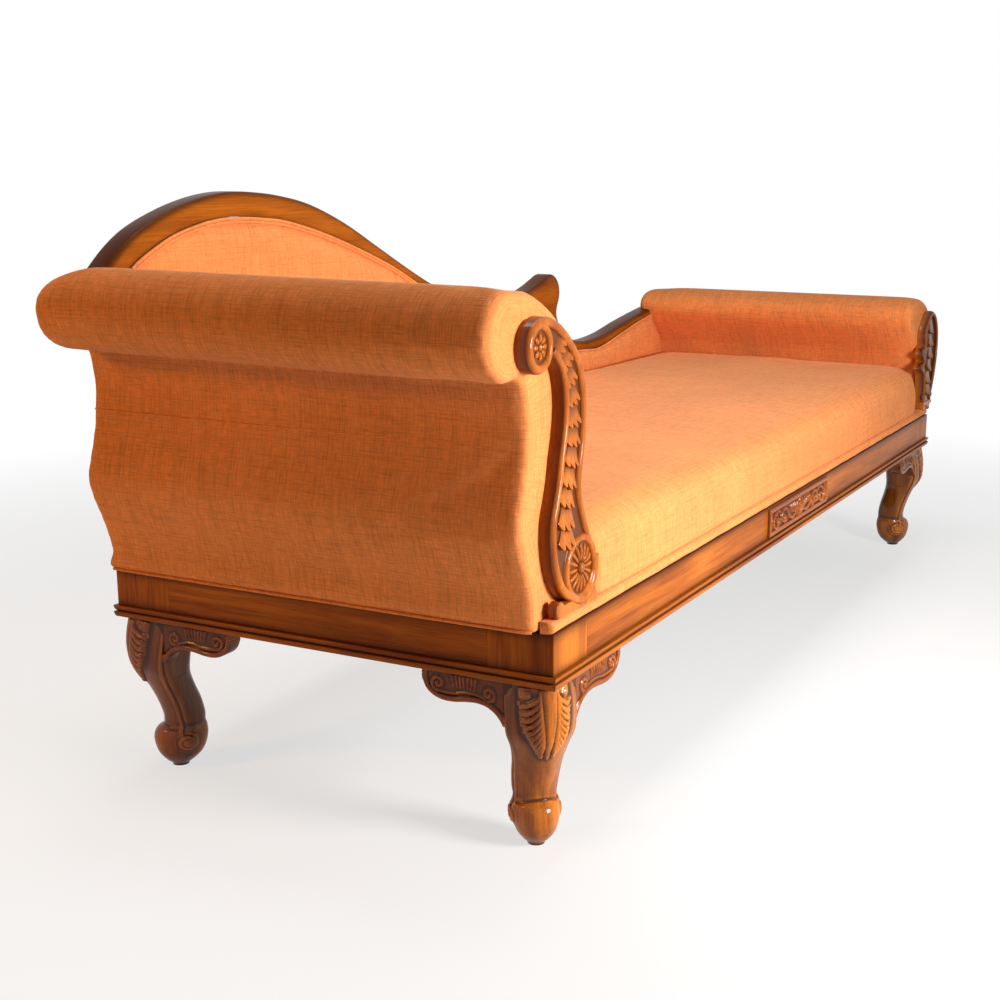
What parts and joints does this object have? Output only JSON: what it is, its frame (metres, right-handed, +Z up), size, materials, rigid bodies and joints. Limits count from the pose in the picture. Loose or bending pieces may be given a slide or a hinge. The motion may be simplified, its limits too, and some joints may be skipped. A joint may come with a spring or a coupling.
{
  "type": "daybed",
  "caption": "Scroll-end daybed: high padded head end, low padded foot end, humped carved back rail and long padded seat on cabriole legs.",
  "frame": {"origin": "centre of the whole object's plan at floor level, midway between the ends of the two scrolls", "axes": "+X along the length from the high head end to the low foot end, +Y from the open front to the back, +Z up"},
  "size_m": [2.207, 0.742, 0.864],
  "materials": {
    "polished_wood": "gloss",
    "dark_wood": "gloss",
    "frame_wood": "sawn",
    "linen": "slub weave",
    "webbing": "woven jute",
    "hessian": "coarse weave",
    "foam": "open foam",
    "dust_cloth": "non-woven",
    "steel": "plain"
  },
  "bodies": {
    "root": {"front_rail": "polished_wood", "back_rail": "polished_wood", "head_rail": "polished_wood", "foot_rail": "polished_wood", "post_head_front": "polished_wood", "post_head_back": "polished_wood", "post_foot_front": "polished_wood", "post_foot_back": "polished_wood", "moulding_front": "dark_wood", "moulding_back": "dark_wood", "moulding_head": "dark_wood", "moulding_foot": "dark_wood", "carved_tablet": "dark_wood", "leg_head_front": "polished_wood", "leg_head_back": "polished_wood", "leg_foot_front": "polished_wood", "leg_foot_back": "polished_wood", "ears_head_front": "polished_wood", "ears_head_back": "polished_wood", "ears_foot_front": "polished_wood", "ears_foot_back": "polished_wood", "leg_bolts": "steel", "cross_rail_head": "frame_wood", "cross_rail_foot": "frame_wood", "dust_cover": "dust_cloth", "seat_webbing": "webbing", "seat_hessian": "hessian", "seat_foam": "foam", "seat_cover": "linen", "seat_border": "linen", "head_facing": "polished_wood", "head_bracket": "polished_wood", "head_post_front": "frame_wood", "head_post_back": "frame_wood", "head_pole": "frame_wood", "head_mid_rail": "frame_wood", "head_bottom_rail": "frame_wood", "head_pad": "linen", "head_roll": "linen", "foot_facing": "polished_wood", "foot_bracket": "polished_wood", "foot_post_front": "frame_wood", "foot_post_back": "frame_wood", "foot_pole": "frame_wood", "foot_bottom_rail": "frame_wood", "foot_pad": "linen", "crest_rail": "polished_wood", "scroll_tip": "polished_wood", "low_rail": "polished_wood", "back_post_head": "frame_wood", "back_post_mid": "frame_wood", "back_post_foot": "frame_wood", "back_pad": "linen", "back_panel": "linen", "back_piping": "linen"}
  },
  "joints": []
}
